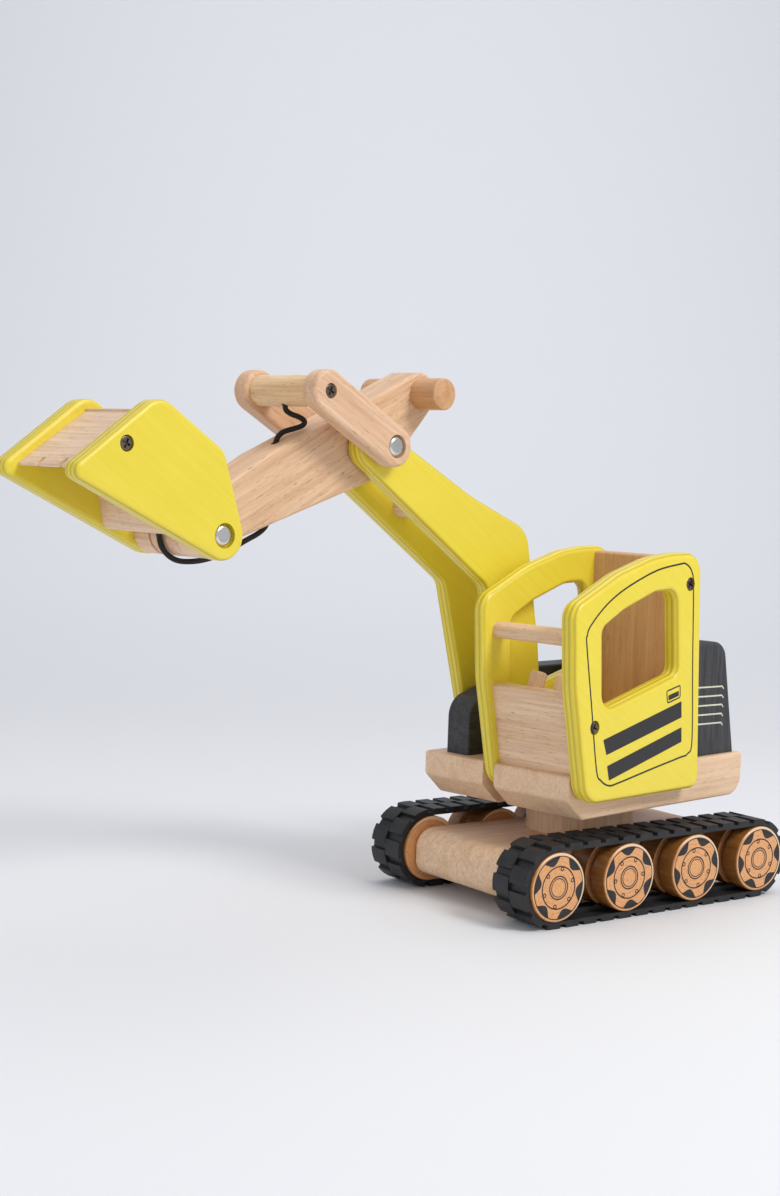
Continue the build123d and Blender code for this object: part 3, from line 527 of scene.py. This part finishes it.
upper = cord_mesh("cord_upper_braid", [
    (218.6, 0.0, 292.6), (219.9, 0.0, 286.2), (216.0, 1.4, 283.4), (211.2, 2.9, 282.2), (207.6, 4.2, 279.9),
    (209.7, 4.4, 277.3), (215.6, 2.9, 275.4), (221.6, 0.9, 273.6), (hole_x(269.0), 0.0, 269.0), (hole_x(262.2), 0.0, 262.2)], 0.00148)
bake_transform(upper)
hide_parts("cord_upper")
inner = cord_mesh("cord_inner_braid", [(hole_x(262.4), 0, 262.4), (hole_x(246.0), 0, 246.0), (hole_x(230.2), 0, 230.2)], 0.00148)
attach(inner, "stick")
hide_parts("cord_inner")
lower = cord_mesh("cord_lower_braid", [
    (hole_x(230.4), 0.0, 230.4), (hole_x(224.0), 0.0, 224.0), (234.3, 0.3, 219.2), (244.3, 0.6, 215.2), (256.5, 0.4, 209.7),
    (268.6, 0.2, 205.6), (280.2, 0.0, 204.1), (291.6, 0.0, 204.9), (300.2, 0.0, 211.2), (302.4, 0.0, 220.6),
    (304.4, 0.0, 228.4), (312.6, 0.0, 232.6)], 0.00148)
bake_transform(lower)
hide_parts("cord_lower")

# ---------------------------------------------------------------- floor, light, camera
bpy.ops.mesh.primitive_plane_add(size=1)
old = bpy.context.object
bpy.data.objects.remove(old)
sweep_pts = [(-9.0, 0.0)] + [(2.2, 0.0)]
verts, faces = [], []
# heading of the view: the sweep rises far behind the toy
yaw = math.radians(-126.46)
fwd = Vector((math.cos(yaw), math.sin(yaw), 0))
rgt = Vector((fwd.y, -fwd.x, 0))
profile = [(-3.0, 0.0), (1.6, 0.0)] + [(1.6 + 1.4 * math.sin(t), 1.4 - 1.4 * math.cos(t)) for t in [math.radians(k) for k in range(6, 91, 6)]] + [(3.0, 5.0)]
for d, z in profile:
    for s in (-6.0, 6.0):
        q = fwd * d + rgt * s
        verts.append((q.x, q.y, z))
for k in range(len(profile) - 1):
    faces.append((2 * k, 2 * k + 1, 2 * k + 3, 2 * k + 2))
me = bpy.data.meshes.new("studio_sweep")
me.from_pydata(verts, [], faces)
for f in me.polygons:
    f.use_smooth = True
floor = bpy.data.objects.new("studio_sweep", me)
bpy.context.scene.collection.objects.link(floor)
n = Net("studio_paper")
s = n.noise(n.tex.outputs["Object"], scale=900, detail=2.0)
n.bump(s, 0.02, 0.0002)
me.materials.append(n.finish((0.76, 0.77, 0.80), rough=0.75, spec=0.2))

world = bpy.data.worlds.new("studio")
bpy.context.scene.world = world
world.use_nodes = True
world.node_tree.nodes["Background"].inputs[0].default_value = (0.93, 0.95, 1.0, 1)
world.node_tree.nodes["Background"].inputs[1].default_value = 0.56

CENTRE = Vector((0.0, 0.0, 0.14))


def area(name, pos, size, power, colour, aim=CENTRE):
    la = bpy.data.lights.new(name, "AREA")
    la.shape = "RECTANGLE"
    la.size, la.size_y = size
    la.energy = power
    la.color = colour
    o = bpy.data.objects.new(name, la)
    o.location = pos
    o.rotation_euler = (aim - Vector(pos)).to_track_quat("-Z", "Y").to_euler()
    bpy.context.scene.collection.objects.link(o)


area("key", CENTRE + rgt * 1.1 - fwd * 0.75 + Vector((0, 0, 1.15)), (0.55, 0.55), 17, (1.0, 0.975, 0.94))
area("top", CENTRE + fwd * 0.3 + Vector((0, 0, 1.7)), (1.6, 1.6), 10, (1.0, 0.99, 0.98))
area("fill", CENTRE - rgt * 1.4 - fwd * 0.9 + Vector((0, 0, 0.5)), (1.2, 1.2), 4, (0.93, 0.96, 1.0))
area("backdrop", fwd * 1.5 + Vector((0, 0, 1.6)), (2.2, 1.2), 11, (1.0, 1.0, 1.0), aim=fwd * 3.0 + Vector((0, 0, 0.9)))

cam_data = bpy.data.cameras.new("camera")
cam = bpy.data.objects.new("camera", cam_data)
bpy.context.scene.collection.objects.link(cam)
pitch, roll = math.radians(-4.41), math.radians(1.97)
f = Vector((math.cos(pitch) * math.cos(yaw), math.cos(pitch) * math.sin(yaw), math.sin(pitch)))
r = f.cross(Vector((0, 0, 1))).normalized()
u = r.cross(f)
r2 = r * math.cos(roll) + u * math.sin(roll)
u2 = -r * math.sin(roll) + u * math.cos(roll)
m = Matrix.Identity(4)
for k in range(3):
    m[k][0], m[k][1], m[k][2] = r2[k], u2[k], -f[k]
m.translation = Vector((0.7755 + TX, 0.8449 + TY, 0.2637))
cam.matrix_world = m
cam_data.sensor_fit = "HORIZONTAL"
cam_data.sensor_width = 36.0
cam_data.lens = 86.09
cam_data.clip_start = 0.01
cam_data.clip_end = 50
bpy.context.scene.view_settings.view_transform = "Standard"
bpy.context.scene.camera = cam
